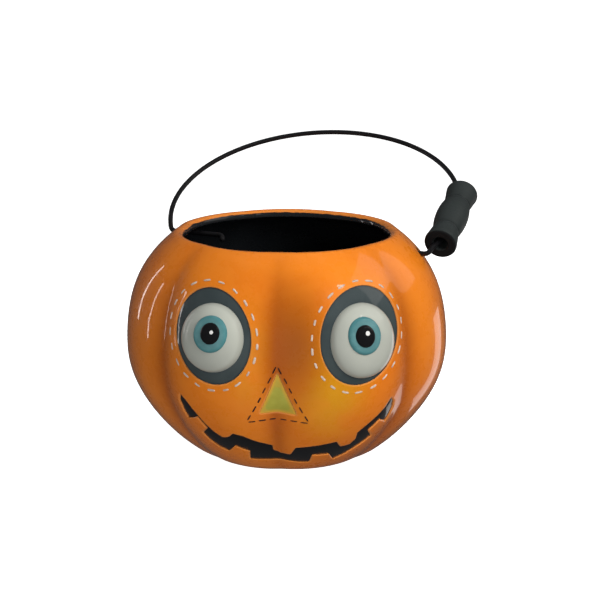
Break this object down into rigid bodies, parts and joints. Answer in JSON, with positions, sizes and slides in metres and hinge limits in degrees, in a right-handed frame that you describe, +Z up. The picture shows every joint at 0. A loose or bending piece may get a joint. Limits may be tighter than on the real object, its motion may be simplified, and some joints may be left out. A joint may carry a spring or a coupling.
{
  "type": "ceramic pumpkin pail",
  "caption": "Glazed ceramic pumpkin pail with a relief jack-o'-lantern face, a swinging wire bail and a turned grip that slides along it.",
  "frame": {"origin": "middle of the flat foot, on the surface that the pail stands on", "axes": "+Z up, the face looks along -Y, +X to the right of someone looking at the face"},
  "size_m": [0.1999, 0.2129, 0.1646],
  "materials": {
    "orange_glaze": "glossy orange glaze, black inside",
    "socket_glaze": "glossy dark grey glaze",
    "white_glaze": "glossy off-white glaze",
    "iris_glaze": "glossy teal glaze",
    "black_glaze": "glossy black glaze",
    "nose_glaze": "glossy yellow-green glaze",
    "wire_coating": "satin black coated steel wire",
    "grip_finish": "matte charcoal painted turned wood"
  },
  "bodies": {
    "pail": {"pumpkin_shell": "orange_glaze", "left_eye_socket": "socket_glaze", "right_eye_socket": "socket_glaze", "left_eyeball": "white_glaze", "right_eyeball": "white_glaze", "left_iris": "iris_glaze", "right_iris": "iris_glaze", "left_pupil": "black_glaze", "right_pupil": "black_glaze", "nose_inlay": "nose_glaze", "mouth_inlay": "black_glaze"},
    "bail": {"bail_wire": "wire_coating"},
    "handle_grip": {"grip": "grip_finish"}
  },
  "joints": [
    {"name": "bail_swing", "type": "hinge", "parent": "pail", "child": "bail", "pos_m": [-0.064, 0.0352, 0.117], "axis": [0.9489, -0.3147, -0.0221], "range_deg": [0, 116]},
    {"name": "grip_travel", "type": "hinge", "parent": "bail", "child": "handle_grip", "pos_m": [0.0157, 0.0422, 0.1316], "axis": [-0.0843, -0.365, 0.9272], "range_deg": [0, 180]}
  ]
}
